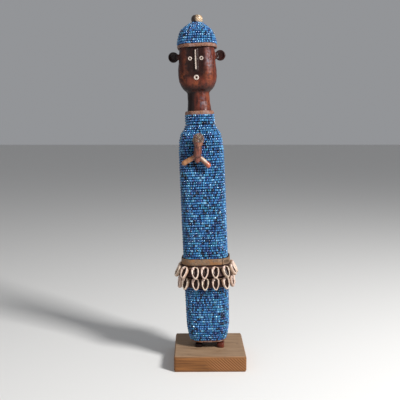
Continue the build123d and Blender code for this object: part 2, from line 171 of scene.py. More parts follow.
def deselectAll():
    for thing in list(bpy.context.selected_objects):
        thing.select_set(False)


def pick(piece, *others):
    deselectAll()
    for thing in (piece, *others):
        thing.select_set(True)
    bpy.context.view_layer.objects.active = piece
    return piece


def added(name):
    piece = bpy.context.object
    piece.name = name
    piece.data.name = name
    return piece


def settle(piece):
    pick(piece)
    bpy.ops.object.transform_apply(location=True, rotation=True, scale=True)
    return piece


def joined(piece, *others):
    pick(piece, *others)
    bpy.ops.object.join()
    return piece


def modified(piece, kind, **settings):
    pick(piece)
    modifier = piece.modifiers.new(kind.title(), kind)
    for key, value in settings.items():
        setattr(modifier, key, value)
    bpy.ops.object.modifier_apply(modifier=modifier.name)
    return piece


def roughened(piece, grain, depth, kind="CLOUDS"):
    surface = bpy.data.textures.new(piece.name + "Surface", kind)
    surface.noise_scale = grain
    return modified(piece, "DISPLACE", texture=surface, strength=depth, mid_level=0.5, texture_coords="LOCAL")


def softened(piece, width, segments, degrees):
    limit = math.radians(degrees)
    return modified(piece, "BEVEL", width=width, segments=segments, limit_method="ANGLE", angle_limit=limit)


def fused(piece, voxel, smoothing=4):
    modified(piece, "REMESH", mode="VOXEL", voxel_size=voxel)
    modified(piece, "SMOOTH", factor=0.5, iterations=smoothing)
    return piece


def smooth(piece, degrees=None):
    pick(piece)
    if degrees is None:
        bpy.ops.object.shade_smooth()
    else:
        bpy.ops.object.shade_smooth_by_angle(angle=math.radians(degrees))
    return piece


def selectFaces(piece, wanted):
    # in object mode, before edit mode is entered
    for edge in piece.data.edges:
        edge.select = False
    for vert in piece.data.vertices:
        vert.select = False
    for face in piece.data.polygons:
        face.select = wanted(face)


def editing(piece, selectMode="FACE"):
    pick(piece)
    bpy.ops.object.mode_set(mode="EDIT")
    bpy.ops.mesh.select_mode(type=selectMode)


def editingAll(piece, selectMode="FACE"):
    editing(piece, selectMode)
    bpy.ops.mesh.select_all(action="SELECT")


def doneEditing():
    bpy.ops.object.mode_set(mode="OBJECT")


def makeBox(name, place, size):
    deselectAll()
    bpy.ops.mesh.primitive_cube_add(size=1, location=place, scale=size)
    return settle(added(name))


def makeBall(name, spot, size):
    deselectAll()
    bpy.ops.mesh.primitive_uv_sphere_add(segments=28, ring_count=18, radius=1, location=spot, scale=size)
    return settle(added(name))


def cutAway(piece, cutter):
    modified(piece, "BOOLEAN", operation="DIFFERENCE", object=cutter, solver="EXACT")
    bpy.data.objects.remove(cutter)


def outwards(piece):
    editingAll(piece)
    bpy.ops.mesh.normals_make_consistent(inside=False)
    doneEditing()
    return piece


def raiseRings(name, rings):
    # a disc is extruded ring by ring, and each new loop is laid on its outline
    deselectAll()
    bpy.ops.mesh.primitive_circle_add(vertices=len(rings[0]), radius=0.01, fill_type="NGON")
    piece = added(name)
    bpy.ops.object.mode_set(mode="EDIT")
    for number, ring in enumerate(rings):
        if number:
            bpy.ops.mesh.extrude_region_move()
        mesh = bmesh.from_edit_mesh(piece.data)
        moving = [vert for vert in mesh.verts if vert.select]
        moving.sort(key=lambda vert: math.atan2(vert.co.y, vert.co.x))
        for vert, spot in zip(moving, sorted(ring, key=lambda spot: math.atan2(spot[1], spot[0]))):
            vert.co = spot
        bmesh.update_edit_mesh(piece.data)
    doneEditing()
    return outwards(piece)


def outlineRing(row, grow, count):
    length = lengthAround(row, grow)
    return [(*around(row, grow, (number + 0.5) / count * length)[:2], row[0]) for number in range(count)]


def wrapStrip(name, rows, settings):
    # a flat strip is wrapped round the outline, its seam merged, and then given its thickness
    strip = {"start": 0.0, "end": 1.0, "bulge": 0.0, "wave": 0.0, "waveSize": 0.008}
    strip.update({"edge": 0.0, "edgeSize": 0.006, "soft": 0.0002, **settings})
    deselectAll()
    bpy.ops.mesh.primitive_grid_add(x_subdivisions=strip["across"], y_subdivisions=strip["levels"], size=1)
    piece = added(name)
    tall = strip["high"] - strip["low"]
    for vert in piece.data.vertices:
        share = strip["start"] + (vert.co.x + 0.5) * (strip["end"] - strip["start"])
        level = vert.co.y + 0.5
        row = rowAt(rows, strip["low"] + tall * level)
        x, y, heading = around(row, strip["out"], share % 1 * lengthAround(row, strip["out"]))
        wave = noise.noise(Vector((x, y, row[0])) / strip["waveSize"]) * strip["wave"]
        push = strip["bulge"] * (1 - (2 * level - 1) ** 2) + wave
        lift = noise.noise(Vector((x, y, level * 0.004)) / strip["edgeSize"]) * strip["edge"]
        vert.co = (x + push * math.sin(heading), y - push * math.cos(heading), row[0] + lift)
    editingAll(piece)
    bpy.ops.mesh.remove_doubles(threshold=0.00001)
    doneEditing()
    modified(piece, "SOLIDIFY", thickness=strip["thick"], offset=-1)
    softened(piece, strip["soft"], 2, 50)
    return smooth(piece)


def paint(piece, name, colourAt):
    layer = piece.data.color_attributes.new(name=name, type="FLOAT_COLOR", domain="POINT")
    for vert, value in zip(piece.data.vertices, layer.data):
        value.color = (*colourAt(vert.co), 1.0)


def near(value, centre, spread):
    return math.exp(-(((value - centre) / spread) ** 2))


def ramp01(value, low, high):
    share = min(1.0, max(0.0, (value - low) / (high - low)))
    return share * share * (3 - 2 * share)


def leaned(piece, place=None):
    piece.matrix_world = figurePlace @ (place or Matrix()) @ piece.matrix_world
    return settle(piece)


def finishPiece(piece, material, slotName, bodyName, *nodes):
    piece.data.materials.clear()
    piece.data.materials.append(material)
    for face in piece.data.polygons:
        face.material_index = 0
    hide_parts(*nodes)
    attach(piece, bodyName)
    deselectAll()
    return piece


# materials


def startMaterial(name, colour, roughness, sockets=None):
    made = bpy.data.materials.new(name)
    made.use_nodes = True
    shader = made.node_tree.nodes["Principled BSDF"]
    shader.inputs["Base Color"].default_value = (*colour, 1)
    shader.inputs["Roughness"].default_value = roughness
    for key, value in (sockets or {}).items():
        shader.inputs[key].default_value = value
    return made


def addNode(made, kind, inputs=None, **settings):
    node = made.node_tree.nodes.new(kind)
    for key, value in settings.items():
        setattr(node, key, value)
    for key, value in (inputs or {}).items():
        if isinstance(value, bpy.types.NodeSocket):
            made.node_tree.links.new(value, node.inputs[key])
        else:
            node.inputs[key].default_value = value
    return node


def linkShader(made, **sockets):
    shader = made.node_tree.nodes["Principled BSDF"]
    for key, value in sockets.items():
        made.node_tree.links.new(value, shader.inputs[key.replace("_", " ")])


def place3d(made, stretch=(1, 1, 1), turn=(0, 0, 0)):
    where = addNode(made, "ShaderNodeTexCoord")
    mapping = addNode(made, "ShaderNodeMapping", {"Vector": where.outputs["Object"]})
    mapping.inputs["Scale"].default_value = stretch
    mapping.inputs["Rotation"].default_value = [math.radians(angle) for angle in turn]
    return mapping.outputs["Vector"]


def noiseField(made, scale, detail=3.0, stretch=(1, 1, 1), turn=(0, 0, 0), rough=0.55):
    inputs = {"Vector": place3d(made, stretch, turn), "Scale": scale, "Detail": detail, "Roughness": rough}
    return addNode(made, "ShaderNodeTexNoise", inputs).outputs["Fac"]


def waveField(made, scale, distortion, stretch=(1, 1, 1), turn=(0, 0, 0)):
    inputs = {"Vector": place3d(made, stretch, turn), "Scale": scale, "Distortion": distortion, "Detail": 2.0}
    return addNode(made, "ShaderNodeTexWave", inputs, bands_direction="X").outputs["Fac"]


def cellField(made, scale, stretch=(1, 1, 1)):
    inputs = {"Vector": place3d(made, stretch), "Scale": scale}
    return addNode(made, "ShaderNodeTexVoronoi", inputs).outputs["Distance"]


def squeeze(made, value, low, high, start=0.0, end=1.0):
    inputs = {"Value": value, "From Min": low, "From Max": high, "To Min": start, "To Max": end}
    return addNode(made, "ShaderNodeMapRange", inputs).outputs["Result"]


def product(made, first, second):
    return addNode(made, "ShaderNodeMath", {0: first, 1: second}, operation="MULTIPLY").outputs[0]


def blendColour(made, share, first, second, kind="MIX"):
    node = addNode(made, "ShaderNodeMix", data_type="RGBA", blend_type=kind)
    for index, value in ((0, share), (6, first), (7, second)):
        if isinstance(value, bpy.types.NodeSocket):
            made.node_tree.links.new(value, node.inputs[index])
        else:
            node.inputs[index].default_value = (*value, 1) if index else value
    return node.outputs[2]


def bumped(made, height, distance, strength=1.0, below=None):
    inputs = {"Height": height, "Distance": distance, "Strength": strength}
    if below is not None:
        inputs["Normal"] = below
    return addNode(made, "ShaderNodeBump", inputs).outputs["Normal"]


def painted(made, name):
    return addNode(made, "ShaderNodeAttribute", attribute_name=name).outputs["Color"]


def paintedChannels(made, name):
    return addNode(made, "ShaderNodeSeparateColor", {"Color": painted(made, name)}).outputs


def sideways(made):
    return addNode(made, "ShaderNodeSeparateXYZ", {0: place3d(made)}).outputs["X"]


def boardMaterial():
    made = startMaterial("boardWood", (0.22, 0.11, 0.045), 0.62, {"Specular IOR Level": 0.3})
    grain = noiseField(made, 1.0, 4.0, (26, 620, 620))
    bands = noiseField(made, 1.0, 2.0, (9, 130, 130))
    edges = blendColour(made, squeeze(made, grain, 0.34, 0.66), (0.110, 0.040, 0.010), (0.26, 0.104, 0.029))
    edges = blendColour(made, squeeze(made, bands, 0.42, 0.68, 0.0, 0.6), edges, (0.26, 0.10, 0.026))
    face = blendColour(made, squeeze(made, grain, 0.34, 0.66), (0.19, 0.115, 0.062), (0.36, 0.235, 0.145))
    up = addNode(made, "ShaderNodeSeparateXYZ", {0: addNode(made, "ShaderNodeNewGeometry").outputs["Normal"]})
    colour = blendColour(made, squeeze(made, up.outputs["Z"], 0.35, 0.75), edges, face)
    # saw marks slant across the edges of the board
    saw = squeeze(made, waveField(made, 128.0, 0.4, (1, 1, 1), (0, 48, 0)), 0.30, 0.70)
    side = sideways(made)
    sawn = squeeze(made, noiseField(made, 28.0, 1.0), 0.38, 0.54)
    sawn = product(made, sawn, squeeze(made, side, -0.020, 0.010, 0.25, 1.0))
    sawn = product(made, sawn, squeeze(made, up.outputs["Z"], 0.3, 0.1))
    ridges = blendColour(made, saw, (0.42, 0.175, 0.055), (0.065, 0.022, 0.007))
    colour = blendColour(made, squeeze(made, sawn, 0, 1, 0, 0.85), colour, ridges)
    spots = squeeze(made, noiseField(made, 95.0, 4.0), 0.58, 0.72, 0.0, 0.45)
    colour = blendColour(made, spots, colour, (0.095, 0.042, 0.018))
    height = bumped(made, grain, 0.00016)
    linkShader(made, Base_Color=colour, Normal=bumped(made, product(made, saw, sawn), 0.00025, 1.0, height))
    linkShader(made, Roughness=squeeze(made, grain, 0.3, 0.7, 0.5, 0.74))
    return made


def carvedWoodMaterial():
    finish = {"Specular IOR Level": 0.22, "Coat Weight": 0.05, "Coat Roughness": 0.3}
    made = startMaterial("carvedWood", (0.05, 0.015, 0.01), 0.4, finish)
    channels = paintedChannels(made, "woodTone")
    grain = noiseField(made, 1.0, 5.0, (420, 420, 60))
    mottle = noiseField(made, 150.0, 4.0)
    red = blendColour(made, squeeze(made, grain, 0.36, 0.64), (0.022, 0.0055, 0.004), (0.125, 0.024, 0.013))
    red = blendColour(made, squeeze(made, mottle, 0.46, 0.68, 0.0, 0.7), red, (0.165, 0.036, 0.017))
    # the red channel darkens the face's centre and the outer sides, and lays painted shade on the left side,
    # under the chin and on the left of the neck
    colour = blendColour(made, channels["Red"], red, (0.010, 0.0024, 0.0018))
    wear = product(made, channels["Green"], squeeze(made, noiseField(made, 260.0, 4.0), 0.40, 0.60))
    colour = blendColour(made, wear, colour, (0.26, 0.066, 0.022))
    # the blue channel lays painted highlights in pinkish grey on the neck, the right of the face and the ears
    paintedHighlight = product(made, channels["Blue"], squeeze(made, noiseField(made, 330.0, 3.0), 0.42, 0.58))
    colour = blendColour(made, paintedHighlight, colour, (0.19, 0.17, 0.20))
    chisel = cellField(made, 260.0, (1, 1, 0.45))
    height = bumped(made, grain, 0.00022)
    height = bumped(made, chisel, 0.00035, 0.6, height)
    linkShader(made, Base_Color=colour, Normal=height, Roughness=squeeze(made, mottle, 0.3, 0.7, 0.26, 0.55))
    return made


def beadMaterial():
    finish = {"Specular IOR Level": 0.6, "Coat Weight": 0.35, "Coat Roughness": 0.08}
    made = startMaterial("blueGlass", (0.03, 0.14, 0.45), 0.2, finish)
    tint = painted(made, "beadTint")
    worn = squeeze(made, noiseField(made, 900.0, 3.0), 0.55, 0.75, 0.0, 0.35)
    colour = blendColour(made, worn, tint, (0.10, 0.26, 0.52))
    gloss = squeeze(made, noiseField(made, 420.0, 2.0), 0.35, 0.65, 0.14, 0.34)
    linkShader(made, Base_Color=colour, Roughness=gloss)
    return made


def boneMaterial():
    made = startMaterial("agedBone", (0.5, 0.42, 0.36), 0.45, {"Specular IOR Level": 0.5})
    grain = noiseField(made, 900.0, 4.0)
    colour = blendColour(made, squeeze(made, grain, 0.35, 0.68), (0.30, 0.215, 0.175), (0.66, 0.575, 0.50))
    linkShader(made, Base_Color=colour, Normal=bumped(made, grain, 0.0001))
    return made


def clothMaterial():
    made = startMaterial("indigoCloth", (0.012, 0.014, 0.03), 0.9, {"Sheen Weight": 0.25})
    weave = waveField(made, 900.0, 0.6, (1, 1, 1), (0, 90, 0))
    weft = waveField(made, 900.0, 0.6)
    threads = product(made, weave, weft)
    colour = blendColour(made, squeeze(made, threads, 0.1, 0.7), (0.006, 0.006, 0.013), (0.022, 0.024, 0.045))
    linkShader(made, Base_Color=colour, Normal=bumped(made, threads, 0.0002))
    return made


def strapMaterial(name, dark, light, stain, grainScale):
    made = startMaterial(name, light, 0.68, {"Specular IOR Level": 0.35})
    fine = noiseField(made, grainScale, 5.0)
    broad = noiseField(made, grainScale * 0.22, 3.0)
    colour = blendColour(made, squeeze(made, fine, 0.34, 0.66), dark, light)
    colour = blendColour(made, squeeze(made, broad, 0.48, 0.66, 0.0, 0.85), colour, stain)
    pores = cellField(made, grainScale * 1.9)
    height = bumped(made, fine, 0.00025)
    linkShader(made, Base_Color=colour, Normal=bumped(made, pores, 0.00018, 0.8, height))
    linkShader(made, Roughness=squeeze(made, broad, 0.3, 0.7, 0.55, 0.82))
    return made


def shellMaterial():
    made = startMaterial("cowrieShell", (0.6, 0.5, 0.4), 0.34, {"Specular IOR Level": 0.5, "Coat Weight": 0.15})
    channels = paintedChannels(made, "shellTone")
    fine = noiseField(made, 520.0, 4.0)
    cream = blendColour(made, squeeze(made, fine, 0.35, 0.65), (0.50, 0.37, 0.27), (0.80, 0.70, 0.55))
    pink = blendColour(made, squeeze(made, fine, 0.35, 0.65), (0.42, 0.25, 0.215), (0.70, 0.53, 0.48))
    colour = blendColour(made, channels["Blue"], cream, pink)
    patches = squeeze(made, noiseField(made, 240.0, 3.0), 0.4, 0.62)
    back = blendColour(made, patches, (0.30, 0.15, 0.085), (0.56, 0.40, 0.28))
    colour = blendColour(made, squeeze(made, channels["Red"], 0.0, 1.0, 0.8, 0.0), colour, back)
    # the green channel lays painted shade, near black, in the shell's hollow
    colour = blendColour(made, channels["Green"], colour, (0.040, 0.014, 0.008))
    linkShader(made, Base_Color=colour, Normal=bumped(made, fine, 0.00012))
    linkShader(made, Roughness=squeeze(made, fine, 0.3, 0.7, 0.26, 0.48))
    return made


def hornMaterial():
    made = startMaterial("hornBead", (0.3, 0.2, 0.12), 0.36, {"Specular IOR Level": 0.5, "Coat Weight": 0.2})
    streaks = waveField(made, 260.0, 5.0, (1, 1, 0.5), (0, 62, 12))
    patches = noiseField(made, 210.0, 3.0)
    colour = blendColour(made, squeeze(made, streaks, 0.2, 0.8), (0.30, 0.185, 0.10), (0.62, 0.47, 0.31))
    colour = blendColour(made, squeeze(made, patches, 0.58, 0.68), colour, (0.055, 0.032, 0.020))
    # painted shade darkens the left half of the bead
    side = sideways(made)
    colour = blendColour(made, squeeze(made, side, -0.0150, -0.0178), colour, (0.040, 0.022, 0.014))
    linkShader(made, Base_Color=colour, Normal=bumped(made, patches, 0.0002))
    return made


def childWoodMaterial():
    finish = {"Specular IOR Level": 0.55, "Coat Weight": 0.25}
    made = startMaterial("childWood", (0.2, 0.07, 0.03), 0.38, finish)
    channels = paintedChannels(made, "childTone")
    grain = noiseField(made, 420.0, 5.0, (1, 1, 0.35))
    colour = blendColour(made, squeeze(made, grain, 0.35, 0.65), (0.060, 0.016, 0.010), (0.19, 0.050, 0.028))
    tan = blendColour(made, squeeze(made, grain, 0.35, 0.65), (0.22, 0.085, 0.028), (0.40, 0.19, 0.075))
    colour = blendColour(made, channels["Red"], colour, tan)
    colour = blendColour(made, channels["Green"], colour, (0.50, 0.40, 0.30))
    colour = blendColour(made, channels["Blue"], colour, (0.40, 0.085, 0.030))
    linkShader(made, Base_Color=colour, Normal=bumped(made, grain, 0.00018))
    return made


def threadMaterial():
    made = startMaterial("waxedThread", (0.1, 0.06, 0.035), 0.75, {"Specular IOR Level": 0.3})
    twist = waveField(made, 800.0, 1.0, (1, 1, 1), (0, 35, 35))
    colour = blendColour(made, squeeze(made, twist, 0.2, 0.8), (0.035, 0.018, 0.010), (0.15, 0.088, 0.048))
    linkShader(made, Base_Color=colour, Normal=bumped(made, twist, 0.0002))
    return made


def childBeadMaterial():
    made = startMaterial("childGlass", (0.4, 0.26, 0.2), 0.3, {"Specular IOR Level": 0.55})
    tint = painted(made, "beadTint")
    worn = squeeze(made, noiseField(made, 900.0, 3.0), 0.5, 0.7, 0.0, 0.4)
    linkShader(made, Base_Color=blendColour(made, worn, tint, (0.10, 0.06, 0.045)))
    linkShader(made, Roughness=squeeze(made, worn, 0.0, 0.4, 0.22, 0.5))
    return made


def steelMaterial():
    made = startMaterial("screwSteel", (0.5, 0.5, 0.5), 0.35, {"Metallic": 1.0})
    scratches = noiseField(made, 1.0, 3.0, (300, 2500, 900))
    colour = blendColour(made, squeeze(made, scratches, 0.35, 0.65), (0.33, 0.32, 0.31), (0.58, 0.57, 0.55))
    linkShader(made, Base_Color=colour, Roughness=squeeze(made, scratches, 0.3, 0.7, 0.28, 0.5))
    return made


boardWood = boardMaterial()
carvedWood = carvedWoodMaterial()
blueGlass = beadMaterial()
agedBone = boneMaterial()
indigoCloth = clothMaterial()
bandLeather = strapMaterial("bandLeather", (0.11, 0.040, 0.022), (0.26, 0.13, 0.08), (0.27, 0.18, 0.165), 700.0)
beltLeather = strapMaterial(
    "beltLeather", (0.11, 0.068, 0.042), (0.245, 0.158, 0.098), (0.28, 0.125, 0.042), 620.0
)
skirtLeather = strapMaterial(
    "skirtLeather", (0.016, 0.006, 0.005), (0.06, 0.02, 0.014), (0.03, 0.012, 0.012), 420.0
)
cowrieShell = shellMaterial()
hornBead = hornMaterial()
childWood = childWoodMaterial()
childGlass = childBeadMaterial()
waxedThread = threadMaterial()
screwSteel = steelMaterial()
print("materials made:", len(bpy.data.materials))


# stand

stand = {"edge": 0.0012, "wear": 0.00035, "wearSize": 0.02, "voxel": 0.0016}


def makeStand():
    low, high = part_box("stand_block")
    piece = makeBox("standBoard", (low + high) / 2, high - low)
    editingAll(piece, "EDGE")
    bpy.ops.mesh.bevel(offset=stand["edge"], segments=3, affect="EDGES")
    doneEditing()
    # the large faces are cut up so that the worn edges can wander
    modified(piece, "REMESH", mode="VOXEL", voxel_size=stand["voxel"])
    roughened(piece, stand["wearSize"], stand["wear"])
    for vert in piece.data.vertices:
        vert.co.z = max(low.z, min(high.z, vert.co.z))
        vert.co.x = max(low.x, min(high.x, vert.co.x))
        vert.co.y = max(low.y, min(high.y, vert.co.y))
    smooth(piece, 40)
    return finishPiece(piece, boardWood, "stand_wood", "root", "stand_block")


makeStand()
print("stand made")


# carved figure: trunk, feet, neck, head and ears

feet = {
    "x": 0.0134, "shift": 0.0016, "wide": 0.0088, "front": -0.0126, "back": 0.0094, "low": -0.0024,
    "top": 0.0082, "round": 0.0026, "voxel": 0.0004,
    "toeStep": 0.0021, "toeHeight": 0.0035, "toeCut": (0.0005, 0.0034, 0.012),
}
ears = {
    "x": 0.0279, "shift": -0.0011, "height": 0.3529, "radius": 0.0061, "thick": 0.0068, "rim": 0.0025,
    "hollow": 0.0022, "round": 0.0011, "stalkRadius": 0.0033, "stalkLong": 0.0085, "stalkIn": 0.0072,
}
ridge = {"wide": 0.0048, "deep": 0.004, "proud": 0.0015, "low": 0.3340, "high": 0.3595, "round": 0.0011}


def makeEar(side):
    deselectAll()
    place = (ears["shift"] + side * ears["x"], 0, ears["height"])
    turned = (math.radians(90), 0, 0)
    bpy.ops.mesh.primitive_cylinder_add(
        vertices=40, radius=ears["radius"], depth=ears["thick"], location=place, rotation=turned
    )
    piece = settle(added("ear"))
    selectFaces(piece, lambda face: face.normal.y < -0.9)
    editing(piece)
    bpy.ops.mesh.inset(thickness=ears["rim"])
    bpy.ops.transform.translate(value=(0, ears["hollow"], 0))
    bpy.ops.transform.resize(value=(0.82, 1, 0.82))
    doneEditing()
    softened(piece, ears["round"], 3, 40)
    deselectAll()
    bpy.ops.mesh.primitive_cylinder_add(
        vertices=24,
        radius=ears["stalkRadius"],
        depth=ears["stalkLong"],
        location=(ears["shift"] + side * (ears["x"] - ears["stalkIn"]), 0, ears["height"]),
        rotation=(0, math.radians(90), 0),
    )
    return joined(piece, settle(added("stalk")))


def makeFoot(side):
    middle = feet["shift"] + side * feet["x"]
    place = (middle, (feet["front"] + feet["back"]) / 2, (feet["low"] + feet["top"]) / 2)
    piece = makeBox("foot", place, (feet["wide"], feet["back"] - feet["front"], feet["top"] - feet["low"]))
    editingAll(piece, "EDGE")
    bpy.ops.mesh.bevel(offset=feet["round"], segments=4, affect="EDGES")
    doneEditing()
    for vert in piece.data.vertices:
        # toes slope down to the front
        vert.co.z -= ramp01(-vert.co.y, 0.004, 0.0125) * 0.35 * max(0, vert.co.z)
    # toes are parted by three cuts from the front
    for number in (-1, 0, 1):
        place = (middle + number * feet["toeStep"], feet["front"], feet["toeHeight"])
        cutAway(piece, makeBox("toeCut", place, feet["toeCut"]))
    modified(piece, "REMESH", mode="VOXEL", voxel_size=feet["voxel"])
    return roughened(modified(piece, "SMOOTH", factor=0.5, iterations=3), 0.004, 0.0003)


def woodTone(spot):
    x = spot.x - head["faceX"]
    height = spot.z
    front = ramp01(-spot.y, 0.006, 0.0175)
    face = front * ramp01(0.0150 - abs(x), 0.0, 0.0075) * ramp01(height, 0.322, 0.331)
    # dark: the face's dark centre and the outer sides, plus painted shade on the whole left side, under the
    # chin and on the left of the neck
    dark = 0.92 * face + 0.85 * near(height, 0.3135, 0.0042) + 0.6 * ramp01(-x, 0.003, 0.020)
    dark += 0.85 * ramp01(abs(x), 0.0222, 0.0245) + 0.95 * ramp01(-x, -0.001, 0.006) * (height < 0.311)
    cheek = near(abs(x), 0.0155, 0.0058) * near(height, 0.3275, 0.0085) * front
    wear = 0.6 * cheek + 0.55 * near(x, 0.0, 0.0045) * near(height, 0.3205, 0.004) * front
    wear += 0.7 * near(x, 0.0125, 0.0028) * near(height, 0.300, 0.009)
    wear += 0.3 * near(x, -0.013, 0.003) * near(height, 0.35, 0.012)
    # painted highlight: pinkish grey gloss laid on the neck, the right of the face and the fronts of the ears
    paintedHighlight = 0.9 * near(x, 0.0058, 0.0032) * near(height, 0.2985, 0.0055) * front
    paintedHighlight += 0.75 * near(x, 0.0152, 0.0030) * near(height, 0.347, 0.010) * front
    paintedHighlight += 0.2 * ramp01(abs(x), 0.024, 0.0285) * front
    return min(dark, 1.0), min(wear, 1.0), min(paintedHighlight, 1.0)


def makeFigure():
    rings = [outlineRing(row, 0.0, head["corners"]) for row in head["rows"]]
    piece = raiseRings("carvedFigure", rings)
    # the ridge of the nose grows out of the flat of the face
    front = ridge["deep"] / 2 - head["faceDeep"] - ridge["proud"]
    place = (head["faceX"], front, (ridge["low"] + ridge["high"]) / 2)
    nose = makeBox("nose", place, (ridge["wide"], ridge["deep"], ridge["high"] - ridge["low"]))
    modified(nose, "BEVEL", width=ridge["round"], segments=4)
    joined(piece, nose, makeEar(-1), makeEar(1))
    fused(piece, head["voxel"], 5)
    roughened(piece, 0.0065, 0.00055)
    roughened(piece, 0.0022, 0.00022)
    # the trunk inside the beads, and the feet below it
    inset = -body["beadDeep"] - body["cloth"] - body["slack"]
    rings = [outlineRing(row, inset, 48) for row in body["rows"]]
    trunk = raiseRings("trunk", rings)
    joined(piece, trunk, makeFoot(-1), makeFoot(1))
    paint(piece, "woodTone", woodTone)
    smooth(piece, 60)
    leaned(piece)
    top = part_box("stand_block")[1].z
    for vert in piece.data.vertices:
        vert.co.z = max(vert.co.z, top)  # soles cut level with the board
    return finishPiece(piece, carvedWood, "figure_wood", "root", "carved_figure")


makeFigure()
print("carved figure made")


# pale inlays of the face

inlays = {
    "rings": [
        ("leftEyeRing", "left_eye_ring", -0.0066, 0.3486, 0.00168, 0.00062),
        ("rightEyeRing", "right_eye_ring", 0.0066, 0.3486, 0.00168, 0.00062),
        ("mouthRing", "mouth_ring", 0.0, 0.3268, 0.00212, 0.00090),
    ],
    "flat": 0.62,
    "noseLow": 0.3360,
    "noseHigh": 0.3584,
    "noseWide": 0.0014,
    "noseDeep": 0.0010,
    "noseProud": 0.0004,
    "noseTaper": 0.28,
    "taperFrom": 0.344,
}


def makeInlays():
    for name, node, x, height, middle, thick in inlays["rings"]:
        deselectAll()
        bpy.ops.mesh.primitive_torus_add(
            major_segments=40,
            minor_segments=14,
            major_radius=middle,
            minor_radius=thick,
            location=(head["faceX"] + x, -head["faceDeep"] + 0.00002, height),
            rotation=(math.radians(90), 0, 0),
        )
        piece = added(name)
        piece.scale = (1, 1, inlays["flat"])
        settle(piece)
        roughened(piece, 0.0012, 0.0002)
        smooth(piece)
        leaned(piece)
        finishPiece(piece, agedBone, "face_inlay", "root", node)
    low, high = inlays["noseLow"], inlays["noseHigh"]
    front = head["faceDeep"] + ridge["proud"] + inlays["noseProud"]
    place = (head["faceX"], -front + inlays["noseDeep"] / 2, (low + high) / 2)
    piece = makeBox("noseStrip", place, (inlays["noseWide"], inlays["noseDeep"], high - low))
    editingAll(piece, "EDGE")
    bpy.ops.mesh.subdivide(number_cuts=9)
    doneEditing()
    for vert in piece.data.vertices:
        taper = 1.0 - inlays["noseTaper"] * ramp01(vert.co.z, inlays["taperFrom"], high)
        vert.co.x = head["faceX"] + (vert.co.x - head["faceX"]) * taper
    softened(piece, 0.00022, 3, 40)
    roughened(piece, 0.003, 0.00012)
    smooth(piece, 50)
    leaned(piece)
    finishPiece(piece, agedBone, "face_inlay", "root", "nose_strip")


makeInlays()
print("face inlays made")


# glass beads: one bead modelled, then strung row upon row

beads = {
    "radius": 0.00146,
    "hole": 0.00045,
    "long": 0.0019,
    "pitch": 0.00205,
    "rowStep": 0.00302,
    "inset": 0.00142,
    "sides": 8,
    "profile": 5,
    "waver": 0.00028,
    "tints": [
        (26, (0.030, 0.160, 0.385)),
        (22, (0.018, 0.095, 0.270)),
        (16, (0.060, 0.250, 0.470)),
        (10, (0.028, 0.185, 0.320)),
        (6, (0.160, 0.390, 0.600)),
        (15, (0.008, 0.034, 0.130)),
        (2, (0.060, 0.085, 0.260)),
        (8, (0.005, 0.010, 0.035)),
    ],
    "seed": 41,
}


def makeOneBead():
    # a rounded ring of glass threaded along X
    deselectAll()
    thick = (beads["radius"] - beads["hole"]) / 2
    bpy.ops.mesh.primitive_torus_add(
        major_segments=beads["sides"],
        minor_segments=beads["profile"],
        major_radius=beads["hole"] + thick,
        minor_radius=thick,
        rotation=(0, math.radians(90), 0),
    )
    piece = settle(added("oneBead"))
    stretch = beads["long"] / 2 / max(vert.co.x for vert in piece.data.vertices)
    for vert in piece.data.vertices:
        vert.co.x *= stretch
    spots = [vert.co.copy() for vert in piece.data.vertices]
    faces = [tuple(face.vertices) for face in piece.data.polygons]
    bpy.data.objects.remove(piece)
    return spots, faces


oneBead = makeOneBead()
print("one bead:", len(oneBead[1]), "faces")


def beadTint(dice, spot):
    tint = dice.choices([each[1] for each in beads["tints"]], [each[0] for each in beads["tints"]])[0]
    patch = 1.0 + 0.25 * noise.noise(spot / 0.011) + 0.20 * noise.noise(spot / 0.004)
    return [channel * patch for channel in tint]


def beadRows(rows, low, high, step):
    # heights evenly spaced along the slope, with the slope's outward and upward lean
    fine = 0.0001
    found = []
    travelled = step * 0.5
    height = low
    while height < high:
        run = math.hypot(fine, rowAt(rows, height + fine)[1] - rowAt(rows, height)[1])
        travelled += run
        if travelled >= step:
            travelled -= step
            found.append((height, fine / run, (rowAt(rows, height)[1] - rowAt(rows, height + fine)[1]) / run))
        height += fine
    return found


def addBead(cloud, place, tint):
    start = len(cloud["verts"])
    cloud["verts"].extend(place @ vert for vert in oneBead[0])
    cloud["faces"].extend(tuple(start + index for index in face) for face in oneBead[1])
    cloud["tints"].extend([*tint, 1.0] * len(oneBead[0]))


def stringBeads(name, rows, strung, dice, avoid=None):
    cloud = {"verts": [], "faces": [], "tints": []}
    for height, out, up in strung:
        row = rowAt(rows, height)
        grow = -beads["inset"] * out
        length = lengthAround(row, grow)
        count = max(6, round(length / beads["pitch"]))
        start = dice.random() * length
        for number in range(count):
            travel = (start + (number + dice.uniform(-0.12, 0.12)) / count * length) % length
            x, y, heading = around(row, grow, travel)
            spot = Vector((x, y, height - beads["inset"] * up))
            if avoid and avoid(spot):
                continue
            waver = noise.noise(spot / 0.012) * beads["waver"] + dice.uniform(-0.00012, 0.00012)
            push = dice.uniform(-0.00016, 0.00006)
            spot += Vector((
                push * math.sin(heading) * out,
                -push * math.cos(heading) * out,
                waver * out + push * up,
            ))
            size = dice.uniform(0.9, 1.03)
            turn = Matrix.Rotation(heading + dice.uniform(-0.12, 0.12), 4, "Z")
            turn = turn @ Matrix.Rotation(dice.uniform(-0.14, 0.14), 4, "Y")
            turn = turn @ Matrix.Rotation(dice.uniform(0, math.pi), 4, "X")
            scale = Matrix.Diagonal((dice.uniform(0.85, 1.08), size, size, 1))
            addBead(cloud, figurePlace @ Matrix.Translation(spot) @ turn @ scale, beadTint(dice, spot))
    return beadPiece(name, cloud)


